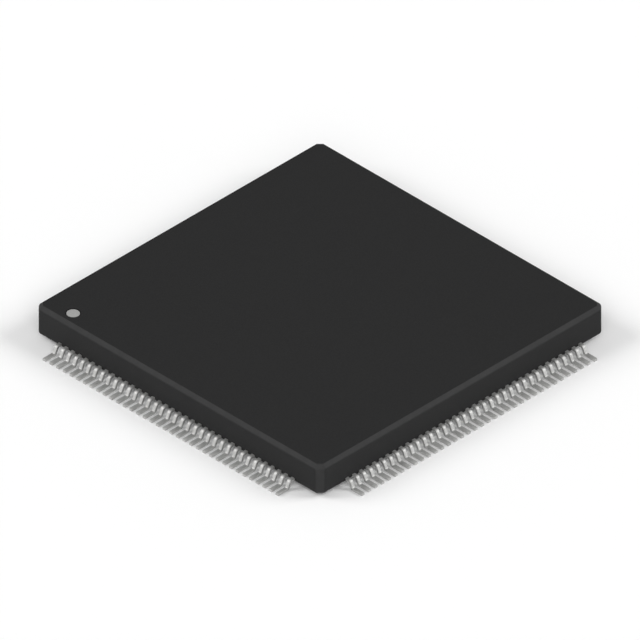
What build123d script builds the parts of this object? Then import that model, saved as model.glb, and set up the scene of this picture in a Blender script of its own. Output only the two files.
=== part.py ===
from build123d import *
import os
from math import cos, radians, sin, tan

# Integrated circuit in a quad flat package: a moulded body with a row of gull-wing leads on each
# of its four sides. The origin is on the board, under the middle of the body, with +Z up. Seen
# from above, lead one is at the -X, +Y corner, and the leads count on anticlockwise.
# All sizes are in millimetres and degrees.

# Moulded body
body_size = 28.0
body_height = 2.5
stand_off = 0.25  # from the board up to the body's underside
corner_leg = 0.5  # bevel of the four upright corners
corner_radius = 0.32  # rounding along both edges of that bevel
edge_leg = 0.3  # bevel round the top and round the underside
edge_radius = 0.28  # rounding between those bevels and the sides

# Leads
pins_per_side = 36
row_inset = 2.625  # from a side of the body in to the middle of the next side's nearest lead
lead_width = 0.27
sheet_thickness = 0.19  # of the stamped sheet that the leads and the die paddle come from
lead_reach = 1.6  # from the side of the body out to the tip of a lead
shoulder_run = 0.22  # level stretch of a lead before its first bend
leg_angle = 65.0  # slope of a lead's leg
bend_inside = 0.12  # inside radius of both bends
bend_folds = 3  # steps that each bend is pressed in, few enough to keep so many leads light
root_length = 1.0  # end of a lead that the moulding holds

# Pin-one mark
mark_diameter = 0.94
mark_thickness = 0.08
mark_rim = 0.08  # bare floor of the dimple round the paint
dimple_depth = 0.1
mark_from_row = 1.17  # from lead one's side of the body in to the middle of the mark
mark_from_end = 2.7  # from the next side of the body to the middle of the mark

# Die and what carries it
die_size = 8.0
die_thickness = 0.35
attach_thickness = 0.03
attach_margin = 0.2  # adhesive squeezed out round the die
paddle_margin = 0.8  # paddle left bare round the adhesive
tie_bar_width = 0.4
tie_bar_angle = 45.0
tie_bar_cover = 0.3  # moulding over the cut ends of the tie bars

# Heights
sheet_bottom = stand_off + edge_leg
sheet_top = sheet_bottom + sheet_thickness
attach_top = sheet_top + attach_thickness
body_top = stand_off + body_height

# Places seen from above
sides = 4
half_body = body_size / 2
lead_pitch = (body_size - 2 * row_inset) / (pins_per_side - 1)
lead_root = half_body - root_length
mark_place = (mark_from_row - half_body, half_body - mark_from_end)
attach_size = die_size + 2 * attach_margin
paddle_size = attach_size + 2 * paddle_margin
corner_distance = (body_size - corner_leg) * cos(radians(tie_bar_angle))
tie_bar_reach = corner_distance - tie_bar_cover

# Bends of a lead, along the middle of the strip
fold_angle = leg_angle / bend_folds
bend_radius = bend_inside + sheet_thickness / 2
bend_run = bend_radius * sin(radians(leg_angle))
bend_drop = bend_radius - bend_radius * cos(radians(leg_angle))
half_fold = bend_radius * tan(radians(fold_angle / 2))
leg_length = (sheet_bottom - 2 * bend_drop) / sin(radians(leg_angle))
foot_run = lead_reach - shoulder_run - 2 * bend_run - leg_length * cos(radians(leg_angle))

# Straight stretches of a lead from its root to its tip, each with its length and slope
bend_stretches = [(2 * half_fold, fold * fold_angle) for fold in range(1, bend_folds)]
lead_stretches = [
    (root_length + shoulder_run + half_fold, 0),
    *bend_stretches,
    (leg_length + 2 * half_fold, leg_angle),
    *reversed(bend_stretches),
    (foot_run + half_fold, 0),
]

os.makedirs("parts", exist_ok=True)

# One lead, pointing along +X
# The line runs along the middle of the strip, down its leg to the board.
with BuildPart() as lead:
    with BuildSketch(Plane.XZ):
        with BuildLine():
            place = (lead_root, sheet_bottom + sheet_thickness / 2)
            for length, slope in lead_stretches:
                place = PolarLine(place, length, -slope) @ 1
        trace(line_width=sheet_thickness)
    extrude(amount=lead_width / 2, both=True)

# Four rows of leads, each turned to its side of the body
row_turns = {
    "leads_left_row": 180,
    "leads_front_row": 270,
    "leads_right_row": 0,
    "leads_back_row": 90,
}
for row_name, row_turn in row_turns.items():
    with BuildPart() as lead_row:
        with PolarLocations(0, 1, start_angle=row_turn):
            with GridLocations(0, lead_pitch, 1, pins_per_side):
                add(lead.part)
    lead_row.part.label = row_name
    export_step(lead_row.part, f"parts/{row_name}.step")

# Die paddle with its tie bars
# One stamped piece, level with the leads. The tie bars run out to the corners of the body.
with BuildPart() as die_paddle:
    with BuildSketch(Plane.XY.offset(sheet_bottom)):
        Rectangle(paddle_size, paddle_size)
        with PolarLocations(0, sides, start_angle=tie_bar_angle):
            Rectangle(tie_bar_reach, tie_bar_width, align=(Align.MIN, Align.CENTER))
    extrude(amount=sheet_thickness)
die_paddle.part.label = "die_paddle"
export_step(die_paddle.part, "parts/die_paddle.step")

# Die attach
with BuildPart() as die_attach:
    with BuildSketch(Plane.XY.offset(sheet_top)):
        Rectangle(attach_size, attach_size)
    extrude(amount=attach_thickness)
die_attach.part.label = "die_attach"
export_step(die_attach.part, "parts/die_attach.step")

# Silicon die
with BuildPart() as silicon_die:
    with BuildSketch(Plane.XY.offset(attach_top)):
        Rectangle(die_size, die_size)
    extrude(amount=die_thickness)
silicon_die.part.label = "silicon_die"
export_step(silicon_die.part, "parts/silicon_die.step")

# Moulded body
# The compound is moulded round the lead roots, the paddle, the adhesive and the die, so it has a
# hollow of exactly their shape.
with BuildPart() as mould_body:
    with BuildSketch(Plane.XY.offset(stand_off)) as body_outline:
        Rectangle(body_size, body_size)
        chamfer(body_outline.vertices(), corner_leg)
        fillet(body_outline.vertices(), corner_radius)
    extrude(amount=body_height)
    chamfer(mould_body.faces().filter_by(Axis.Z).edges(), edge_leg)
    levels = mould_body.edges().group_by(Axis.Z)
    lower_bevel_top = levels[2]
    upper_bevel_foot = levels[-3]
    fillet(lower_bevel_top + upper_bevel_foot, edge_radius)
    with BuildSketch(Plane.XY.offset(body_top)):
        with Locations(mark_place):
            Circle(mark_diameter / 2 + mark_rim)
    extrude(amount=-dimple_depth, mode=Mode.SUBTRACT)
    add(die_paddle.part, mode=Mode.SUBTRACT)
    add(die_attach.part, mode=Mode.SUBTRACT)
    add(silicon_die.part, mode=Mode.SUBTRACT)
    with Locations((0, 0, sheet_bottom)):
        with PolarLocations(lead_root, sides):
            with GridLocations(0, lead_pitch, 1, pins_per_side):
                Box(
                    root_length,
                    lead_width,
                    sheet_thickness,
                    align=(Align.MIN, Align.CENTER, Align.MIN),
                    mode=Mode.SUBTRACT,
                )
mould_body.part.label = "mould_body"
export_step(mould_body.part, "parts/mould_body.step")

# Pin-one mark, the paint on the floor of the dimple
with BuildPart() as pin_one_mark:
    with BuildSketch(Plane.XY.offset(body_top - dimple_depth)):
        with Locations(mark_place):
            Circle(mark_diameter / 2)
    extrude(amount=mark_thickness)
pin_one_mark.part.label = "pin_one_mark"
export_step(pin_one_mark.part, "parts/pin_one_mark.step")
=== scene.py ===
from math import atan2, cos, pi, radians, sin, sqrt, tan

import bpy
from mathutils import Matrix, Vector


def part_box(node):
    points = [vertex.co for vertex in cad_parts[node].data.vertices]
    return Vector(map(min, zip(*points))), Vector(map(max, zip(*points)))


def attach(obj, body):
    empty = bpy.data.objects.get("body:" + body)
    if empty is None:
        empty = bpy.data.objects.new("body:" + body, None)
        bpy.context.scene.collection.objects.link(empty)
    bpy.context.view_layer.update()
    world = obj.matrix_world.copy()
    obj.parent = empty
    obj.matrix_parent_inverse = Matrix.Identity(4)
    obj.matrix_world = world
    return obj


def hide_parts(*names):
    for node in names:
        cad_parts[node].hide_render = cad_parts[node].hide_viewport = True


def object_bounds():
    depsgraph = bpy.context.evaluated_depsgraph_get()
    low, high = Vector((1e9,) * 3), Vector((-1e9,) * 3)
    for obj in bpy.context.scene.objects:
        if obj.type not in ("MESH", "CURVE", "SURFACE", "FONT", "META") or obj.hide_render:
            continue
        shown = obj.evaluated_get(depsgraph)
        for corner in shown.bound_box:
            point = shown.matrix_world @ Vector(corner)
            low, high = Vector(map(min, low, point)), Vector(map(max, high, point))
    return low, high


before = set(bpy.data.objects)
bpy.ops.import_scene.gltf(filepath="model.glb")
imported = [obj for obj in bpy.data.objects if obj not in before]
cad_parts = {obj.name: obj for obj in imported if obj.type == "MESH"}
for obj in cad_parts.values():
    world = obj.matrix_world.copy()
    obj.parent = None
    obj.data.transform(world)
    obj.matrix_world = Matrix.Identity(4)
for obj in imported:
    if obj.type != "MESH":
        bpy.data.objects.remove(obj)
cad_low, cad_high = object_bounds()

# Integrated circuit in a quad flat package. The body, the leads and the mark are made anew here
# with finer bends and edges than the solids can have, and the pieces inside the body keep their
# CAD meshes. All lengths are in metres.
MM = 0.001
quarter_turn = radians(90)

# Boxes of the solids, which give the main sizes
body_low, body_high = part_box("mould_body")
row_low, row_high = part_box("leads_right_row")
mark_low, mark_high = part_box("pin_one_mark")

# Moulded body
half_body = body_high.x
outline_sides = 8
facet_turn = radians(360 / outline_sides)
corner_leg = 0.5 * MM  # bevel of the four upright corners
corner_radius = 0.32 * MM  # rounding along both edges of that bevel
corner_steps = 6
edge_leg = 0.3 * MM  # bevel round the top and round the underside
edge_radius = 0.28 * MM  # rounding between those bevels and the sides
edge_steps = 6
rim_radius = 0.03 * MM  # rounding between those bevels and the flat faces
rim_steps = 2
body_crease = radians(28)  # edges that turn by more than this stay sharp

# Pin-one mark, in its dimple
mark_middle = (mark_low + mark_high) / 2
mark_radius = (mark_high.x - mark_low.x) / 2
paint_edge = 0.03 * MM  # rounding of the paint's upper edge
paint_steps = 4
dimple_depth = 0.1 * MM
dimple_rim = 0.08 * MM  # bare floor of the dimple round the paint
turning_steps = 96
mark_crease = radians(40)

# Leads
pins_per_side = 36
lead_width = 0.27 * MM
sheet_thickness = 0.19 * MM
half_sheet = sheet_thickness / 2
sheet_low = row_high.z - sheet_thickness  # underside of the lead roots
shoulder_run = 0.22 * MM  # level stretch of a lead before its first bend
leg_angle = radians(65)
bend_inside = 0.12 * MM  # inside radius of both bends
bend_radius = bend_inside + half_sheet  # along the middle of the strip
bend_steps = 10
lead_edge = 0.012 * MM  # rounding of the strip's edges
lead_edge_steps = 2
tip_inset = 0.7 * lead_edge
lead_crease = radians(40)
lead_pitch = (row_high.y - row_low.y - lead_width) / (pins_per_side - 1)
lead_places = [(pin - (pins_per_side - 1) / 2) * lead_pitch for pin in range(pins_per_side)]
row_turns = {
    "leads_right_row": 0,
    "leads_back_row": quarter_turn,
    "leads_left_row": 2 * quarter_turn,
    "leads_front_row": 3 * quarter_turn,
}

# Photograph's view: a true isometric with a corner of the body towards the viewer
photo_azimuth = radians(-45)
photo_elevation = atan2(1, sqrt(2))
photo_width = 44.236 * MM
camera_distance = 0.4
nearest_seen = 0.001
farthest_seen = 10

# Light and floor
front_strength = 1.0
front_softness = radians(40)
side_strength = 1.28
side_softness = radians(30)
white = (1.0, 1.0, 1.0)
sky = (0.35, 0.35, 0.35)
lit_floor = (0.8, 0.8, 0.8)
floor_reach = 1.5

# Nodes
noise_low, noise_high = 0.3, 0.7  # where nearly all of a noise texture's values lie
mix_factor, mix_first, mix_second, mix_result = 0, 6, 7, 2  # a colour Mix node's own sockets


# Objects and meshes
def add_object(name, data):
    added = bpy.data.objects.new(name, data)
    bpy.context.scene.collection.objects.link(added)
    return added


def mesh_object(name, vertices, faces):
    mesh = bpy.data.meshes.new(name)
    mesh.from_pydata(vertices, [], faces)
    mesh.validate()
    return add_object(name, mesh)


def skin(rings, count, first=0):
    """Faces over rings of count points each, numbered on from first, with both ends closed."""
    faces = []
    for level in range(rings - 1):
        low = first + level * count
        high = low + count
        for i in range(count):
            j = (i + 1) % count
            faces.append((low + i, low + j, high + j, high + i))
    last = first + (rings - 1) * count
    faces.append(tuple(first + i for i in reversed(range(count))))
    faces.append(tuple(last + i for i in range(count)))
    return faces


def shade_round(piece, crease):
    """Shades a piece smooth, but for the edges that turn by more than the crease angle."""
    piece.data.polygons.foreach_set("use_smooth", [True] * len(piece.data.polygons))
    piece.data.set_sharp_from_angle(angle=crease)
    weighted = piece.modifiers.new("weighted", "WEIGHTED_NORMAL")
    weighted.keep_sharp = True


def rounded(points, radii, steps):
    """The line through points, with each inner corner of a given radius drawn as an arc."""
    line = [points[0]]
    for before, corner, after, radius, count in zip(points, points[1:], points[2:], radii, steps):
        into = (corner - before).normalized()
        out = (after - corner).normalized()
        turn = into.angle_signed(out)
        centre = corner - into * radius * tan(abs(turn) / 2)
        side = Vector((-into.y, into.x)) * (-1 if turn > 0 else 1)
        centre += side * radius
        for step in range(count + 1):
            angle = abs(turn) * step / count
            line.append(centre + (into * sin(angle) - side * cos(angle)) * radius)
    line.append(points[-1])
    return line


def swung(x, y, z, turn):
    """A point turned about the upright axis."""
    return (x * cos(turn) - y * sin(turn), x * sin(turn) + y * cos(turn), z)


# Moulded body
def outline(inset):
    """Square with bevelled, rounded corners, moved in by inset."""
    facet = (2 * half_body - corner_leg) / sqrt(2)
    points = []
    for turn in range(outline_sides):
        here, there = (half_body, facet) if turn % 2 == 0 else (facet, half_body)
        angle = facet_turn * turn
        normal = Vector((cos(angle), sin(angle)))
        along = Vector((-sin(angle), cos(angle)))
        level = here - corner_radius
        reach = (there - corner_radius - level * cos(facet_turn)) / sin(facet_turn)
        centre = normal * level + along * reach
        for step in range(corner_steps + 1):
            bend = angle + facet_turn * step / corner_steps
            points.append(centre + Vector((cos(bend), sin(bend))) * (corner_radius - inset))
    return points


def body_profile():
    """Inset and height of the body's side, from its underside up to its top.

    The first and last corners only give the direction of the flat faces. A point more, level with
    the underside of the lead roots, keeps the shading even beside them.
    """
    bottom, top = body_low.z, body_high.z
    corners = [
        Vector((2 * edge_leg, bottom)),
        Vector((edge_leg, bottom)),
        Vector((0, bottom + edge_leg)),
        Vector((0, top - edge_leg)),
        Vector((edge_leg, top)),
        Vector((2 * edge_leg, top)),
    ]
    radii = [rim_radius, edge_radius, edge_radius, rim_radius]
    steps = [rim_steps, edge_steps, edge_steps, rim_steps]
    line = rounded(corners, radii, steps)[1:-1]
    profile = [line[0]]
    for before, after in zip(line, line[1:]):
        if before.y < sheet_low < after.y:
            profile.append(before.lerp(after, (sheet_low - before.y) / (after.y - before.y)))
        profile.append(after)
    return profile


def make_body():
    rings = [(outline(place.x), place.y) for place in body_profile()]
    vertices = [(point.x, point.y, height) for ring, height in rings for point in ring]
    points_a_ring = outline_sides * (corner_steps + 1)
    return mesh_object("moulded_body", vertices, skin(len(rings), points_a_ring))


def cut(piece, tool):
    """Takes the shape of tool out of piece, without the stored normals of a CAD mesh."""
    boolean = piece.modifiers.new("cut", "BOOLEAN")
    boolean.operation = "DIFFERENCE"
    boolean.solver = "EXACT"
    boolean.object = tool
    result = piece.evaluated_get(bpy.context.evaluated_depsgraph_get())
    whole = bpy.data.meshes.new_from_object(result)
    normals = whole.attributes.get("custom_normal")
    if normals is not None:
        whole.attributes.remove(normals)
    piece.modifiers.clear()
    piece.data = whole


def cut_away(piece, tool):
    """Cuts with a tool that has no other use, and removes it."""
    cut(piece, tool)
    bpy.data.objects.remove(tool)


def pocket_tool():
    """A block for each lead's root, long enough to reach out through the body's side."""
    lengths = (row_low.x, half_body + shoulder_run / 2)
    heights = (sheet_low, row_high.z)
    block = ((0, 1, 3, 2), (4, 6, 7, 5), (0, 4, 5, 1), (2, 3, 7, 6), (0, 2, 6, 4), (1, 5, 7, 3))
    vertices, faces = [], []
    for turn in row_turns.values():
        for place in lead_places:
            base = len(vertices)
            widths = (place - lead_width / 2, place + lead_width / 2)
            vertices += [swung(x, y, z, turn) for x in lengths for y in widths for z in heights]
            faces += [tuple(base + corner for corner in face) for face in block]
    return mesh_object("pocket_tool", vertices, faces)


# Pin-one mark
def turned(name, profile):
    """A solid turned about the middle of the mark, from radius and height, bottom up."""
    vertices = []
    for radius, height in profile:
        for step in range(turning_steps):
            angle = 2 * pi * step / turning_steps
            x = mark_middle.x + radius * cos(angle)
            y = mark_middle.y + radius * sin(angle)
            vertices.append((x, y, height))
    return mesh_object(name, vertices, skin(len(profile), turning_steps))


def make_mark():
    """The paint, whose upper edge is round as where a drop dried."""
    corners = [
        Vector((mark_radius, mark_low.z)),
        Vector((mark_radius, mark_high.z)),
        Vector((0, mark_high.z)),
    ]
    return turned("painted_mark", rounded(corners, [paint_edge], [paint_steps])[:-1])


def dimple_tool():
    radius = mark_radius + dimple_rim
    heights = (body_high.z - dimple_depth, body_high.z + dimple_depth)
    return turned("dimple_tool", [(radius, height) for height in heights])


# Leads
def lead_line():
    """Middle line of a lead, as distance from the body's centre and height."""
    shoulder = row_high.z - half_sheet
    crown = half_body + shoulder_run + bend_radius * tan(leg_angle / 2)
    heel = crown + (shoulder - half_sheet) / tan(leg_angle)
    corners = [
        Vector((row_low.x, shoulder)),
        Vector((crown, shoulder)),
        Vector((heel, half_sheet)),
        Vector((row_high.x, half_sheet)),
    ]
    return rounded(corners, [bend_radius] * 2, [bend_steps] * 2)


def strip_section(inset):
    """Cross-section of the strip, with rounded edges, moved in by inset."""
    half_width = lead_width / 2 - lead_edge
    half_height = half_sheet - lead_edge
    radius = lead_edge - inset
    points = []
    for corner, (across, up) in enumerate(((1, 1), (-1, 1), (-1, -1), (1, -1))):
        for step in range(lead_edge_steps + 1):
            angle = quarter_turn * (corner + step / lead_edge_steps)
            x = across * half_width + radius * cos(angle)
            y = up * half_height + radius * sin(angle)
            points.append((x, y))
    return points


def lead_rings():
    """Rings of a lead that points along +X, as (x, y, z) points, with a rounded tip."""
    line = lead_line()
    last = len(line) - 1
    rings = []
    for i, place in enumerate(line):
        ahead = (line[min(i + 1, last)] - line[max(i - 1, 0)]).normalized()
        up = Vector((-ahead.y, ahead.x))
        stations = [(lead_edge, 0), (0, tip_inset)] if i == last else [(0, 0)]
        for back, inset in stations:
            at = place - ahead * back
            rings.append([
                (at.x + up.x * height, across, at.y + up.y * height)
                for across, height in strip_section(inset)
            ])
    return rings


def make_row(name, turn):
    rings = lead_rings()
    vertices, faces = [], []
    for place in lead_places:
        base = len(vertices)
        vertices += [swung(x, place + across, z, turn) for ring in rings for x, across, z in ring]
        faces += skin(len(rings), len(rings[0]), base)
    return mesh_object(name + "_formed", vertices, faces)


# Materials
class Nodes:
    """The node tree of a material or world, with short calls to add to it."""

    def __init__(self, owner, shader="Principled BSDF"):
        owner.use_nodes = True
        self.owner = owner
        self.tree = owner.node_tree
        self.shader = self.tree.nodes[shader]

    def add(self, kind, **settings):
        node = self.tree.nodes.new(kind)
        for key, value in settings.items():
            setattr(node, key, value)
        return node

    def feed(self, socket, value):
        """Links a socket to another node's output, or gives it a number or a colour."""
        if isinstance(value, bpy.types.NodeSocket):
            self.tree.links.new(value, socket)
        elif isinstance(value, tuple):
            socket.default_value = (*value, 1)
        else:
            socket.default_value = value

    def put(self, name, value):
        """Feeds the shader's socket of this name."""
        self.feed(self.shader.inputs[name], value)

    def place(self, kind):
        """Coordinates of the shaded point, of a kind that Texture Coordinate gives."""
        return self.add("ShaderNodeTexCoord").outputs[kind]

    def parts(self, vector):
        """The outputs X, Y and Z of a vector."""
        node = self.add("ShaderNodeSeparateXYZ")
        self.feed(node.inputs["Vector"], vector)
        return node.outputs

    def maths(self, operation, first, second):
        node = self.add("ShaderNodeMath", operation=operation)
        for socket, value in zip(node.inputs, (first, second)):
            self.feed(socket, value)
        return node.outputs["Value"]

    def noise(self, size, detail):
        """Noise whose features are about size metres across, fixed to the piece."""
        node = self.add("ShaderNodeTexNoise")
        self.feed(node.inputs["Scale"], 1 / size)
        self.feed(node.inputs["Detail"], detail)
        self.feed(node.inputs["Vector"], self.place("Object"))
        return node.outputs["Fac"]

    def spread(self, factor, low, high, start=noise_low, end=noise_high):
        """A value from low to high as factor goes from start to end."""
        node = self.add("ShaderNodeMapRange")
        self.feed(node.inputs["Value"], factor)
        self.feed(node.inputs["From Min"], start)
        self.feed(node.inputs["From Max"], end)
        self.feed(node.inputs["To Min"], low)
        self.feed(node.inputs["To Max"], high)
        return node.outputs["Result"]

    def blend(self, factor, first, second):
        """A colour from first to second, as factor goes from 0 to 1."""
        node = self.add("ShaderNodeMix", data_type="RGBA")
        self.feed(node.inputs[mix_factor], factor)
        self.feed(node.inputs[mix_first], first)
        self.feed(node.inputs[mix_second], second)
        return node.outputs[mix_result]

    def mottle(self, noise, dark, light):
        """A colour from dark to light that follows a noise."""
        return self.blend(self.spread(noise, low=0, high=1), dark, light)

    def bump(self, height, distance, under=None):
        """A normal bent by a height, over the bump under it where there is one."""
        node = self.add("ShaderNodeBump")
        self.feed(node.inputs["Distance"], distance)
        self.feed(node.inputs["Height"], height)
        if under is not None:
            self.feed(node.inputs["Normal"], under)
        return node.outputs["Normal"]


def bevel_highlight_mask(nodes):
    """Mask of a painted highlight: from 0 on the flat faces to 1 on the bevels between them, in
    patches.
    """
    size = nodes.add("ShaderNodeVectorMath", operation="ABSOLUTE")
    nodes.feed(size.inputs["Vector"], nodes.place("Normal"))
    across, along, up = nodes.parts(size.outputs["Vector"])
    flatness = nodes.maths("MAXIMUM", nodes.maths("MAXIMUM", across, along), up)
    bevels = nodes.spread(flatness, low=1, high=0, start=0.75, end=0.98)
    patches = nodes.spread(nodes.noise(size=0.6 * MM, detail=3), low=0.75, high=1)
    return nodes.maths("MULTIPLY", bevels, patches)


def moulding_compound():
    """Matt black compound with a fine grain, and a painted highlight that makes it lighter along
    the bevels.
    """
    # The third colour is a painted highlight. It puts a lighter colour on the bevels and the
    # upright corner facets to stand in for the light that falls there.
    dark, light, bevel_highlight = (0.0175, 0.0175, 0.0177), (0.0235, 0.0235, 0.0238), (0.04, 0.04, 0.0402)
    nodes = Nodes(bpy.data.materials.new("moulding_compound"))
    grain = nodes.noise(size=0.07 * MM, detail=2)
    pores = nodes.noise(size=0.25 * MM, detail=3)
    cloud = nodes.noise(size=2.2 * MM, detail=4)
    nodes.put("Base Color", nodes.blend(bevel_highlight_mask(nodes), nodes.mottle(grain, dark, light), bevel_highlight))
    nodes.put("Roughness", nodes.spread(cloud, low=0.57, high=0.61))
    nodes.put("Specular IOR Level", 0.12)
    pitted = nodes.bump(pores, distance=0.002 * MM)
    nodes.put("Normal", nodes.bump(grain, distance=0.004 * MM, under=pitted))
    return nodes.owner


def tin_plating():
    """Matt tin in fine crystals."""
    dark, light = (0.54, 0.54, 0.53), (0.64, 0.64, 0.63)
    nodes = Nodes(bpy.data.materials.new("tin_plating"))
    cloud = nodes.noise(size=0.9 * MM, detail=3)
    crystal = nodes.noise(size=0.05 * MM, detail=2)
    nodes.put("Base Color", nodes.mottle(cloud, dark, light))
    nodes.put("Metallic", 1.0)
    nodes.put("Roughness", nodes.spread(crystal, low=0.55, high=0.65))
    nodes.put("Normal", nodes.bump(crystal, distance=0.001 * MM))
    return nodes.owner


def mark_paint():
    """Speckled grey paint."""
    dark, light = (0.31, 0.31, 0.305), (0.38, 0.38, 0.375)
    nodes = Nodes(bpy.data.materials.new("mark_paint"))
    speckle = nodes.noise(size=0.08 * MM, detail=3)
    nodes.put("Base Color", nodes.mottle(speckle, dark, light))
    nodes.put("Roughness", 0.6)
    nodes.put("Normal", nodes.bump(speckle, distance=0.0024 * MM))
    return nodes.owner


def inner_material(name, dark, light, metallic, roughness):
    """For a piece that the moulding hides."""
    nodes = Nodes(bpy.data.materials.new(name))
    nodes.put("Base Color", nodes.mottle(nodes.noise(size=0.3 * MM, detail=3), dark, light))
    nodes.put("Metallic", metallic)
    nodes.put("Roughness", roughness)
    return nodes.owner


def dress(piece, material):
    if not piece.material_slots:
        piece.data.materials.append(material)
    for slot in piece.material_slots:
        slot.material = material


# Stage
def look_from(azimuth, elevation):
    """Direction from the part to a camera or a light."""
    return Vector((sin(azimuth) * cos(elevation), -cos(azimuth) * cos(elevation), sin(elevation)))


def aim(thing, back):
    """Turns a camera or a light that lies in the direction back to face the part."""
    thing.rotation_mode = "QUATERNION"
    thing.rotation_quaternion = (-back).to_track_quat("-Z", "Y")


def make_camera():
    camera = add_object("camera", bpy.data.cameras.new("camera"))
    camera.data.type = "ORTHO"
    camera.data.ortho_scale = photo_width
    camera.data.clip_start = nearest_seen
    camera.data.clip_end = farthest_seen
    back = look_from(photo_azimuth, photo_elevation)
    camera.location = (cad_low + cad_high) / 2 + back * camera_distance
    aim(camera, back)
    bpy.context.scene.camera = camera


def make_floor():
    """A pale floor that the camera and reflections see as white paper."""
    low, high = -floor_reach, floor_reach
    corners = [(low, low, 0), (high, low, 0), (high, high, 0), (low, high, 0)]
    floor = mesh_object("floor", corners, [(0, 1, 2, 3)])
    nodes = Nodes(bpy.data.materials.new("floor"))
    rays = nodes.add("ShaderNodeLightPath").outputs
    seen = nodes.maths("MAXIMUM", rays["Is Camera Ray"], rays["Is Glossy Ray"])
    seen = nodes.maths("MAXIMUM", seen, rays["Is Transmission Ray"])
    nodes.put("Base Color", nodes.blend(seen, lit_floor, white))
    nodes.put("Roughness", 1.0)
    nodes.put("Specular IOR Level", 0.0)
    dress(floor, nodes.owner)


def make_sun(name, azimuth, strength, softness):
    """A light as high as the photograph's viewer."""
    sun = add_object(name, bpy.data.lights.new(name, "SUN"))
    sun.data.energy = strength
    sun.data.angle = softness
    aim(sun, look_from(azimuth, photo_elevation))


def make_world():
    """An even sky. Under the floor it is white, which only a view from near the floor shows."""
    world = bpy.data.worlds.new("studio")
    bpy.context.scene.world = world
    nodes = Nodes(world, "Background")
    above = nodes.maths("GREATER_THAN", nodes.parts(nodes.place("Generated"))["Z"], 0)
    nodes.put("Color", nodes.blend(above, white, sky))


# The scene
make_camera()
bpy.context.scene.view_settings.view_transform = "Standard"

compound = moulding_compound()
tin = tin_plating()

body = make_body()
cut_away(body, dimple_tool())
cut_away(body, pocket_tool())
for node in ("die_paddle", "die_attach", "silicon_die"):
    cut(body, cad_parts[node])
shade_round(body, body_crease)
dress(body, compound)
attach(body, "root")
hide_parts("mould_body")

for name, turn in row_turns.items():
    row = make_row(name, turn)
    shade_round(row, lead_crease)
    dress(row, tin)
    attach(row, "root")
    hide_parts(name)

mark = make_mark()
shade_round(mark, mark_crease)
dress(mark, mark_paint())
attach(mark, "root")
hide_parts("pin_one_mark")

copper = inner_material(
    "bare_copper", dark=(0.5, 0.25, 0.14), light=(0.6, 0.32, 0.2), metallic=1.0, roughness=0.35
)
adhesive = inner_material(
    "adhesive", dark=(0.35, 0.34, 0.32), light=(0.45, 0.44, 0.42), metallic=0.0, roughness=0.5
)
silicon = inner_material(
    "silicon", dark=(0.06, 0.06, 0.08), light=(0.1, 0.1, 0.12), metallic=0.6, roughness=0.15
)
dress(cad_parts["die_paddle"], copper)
dress(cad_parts["die_attach"], adhesive)
dress(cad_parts["silicon_die"], silicon)

make_floor()
make_sun("front_light", photo_azimuth, front_strength, front_softness)
make_sun("left_light", photo_azimuth - quarter_turn, side_strength, side_softness)
make_sun("right_light", photo_azimuth + quarter_turn, side_strength, side_softness)
make_world()
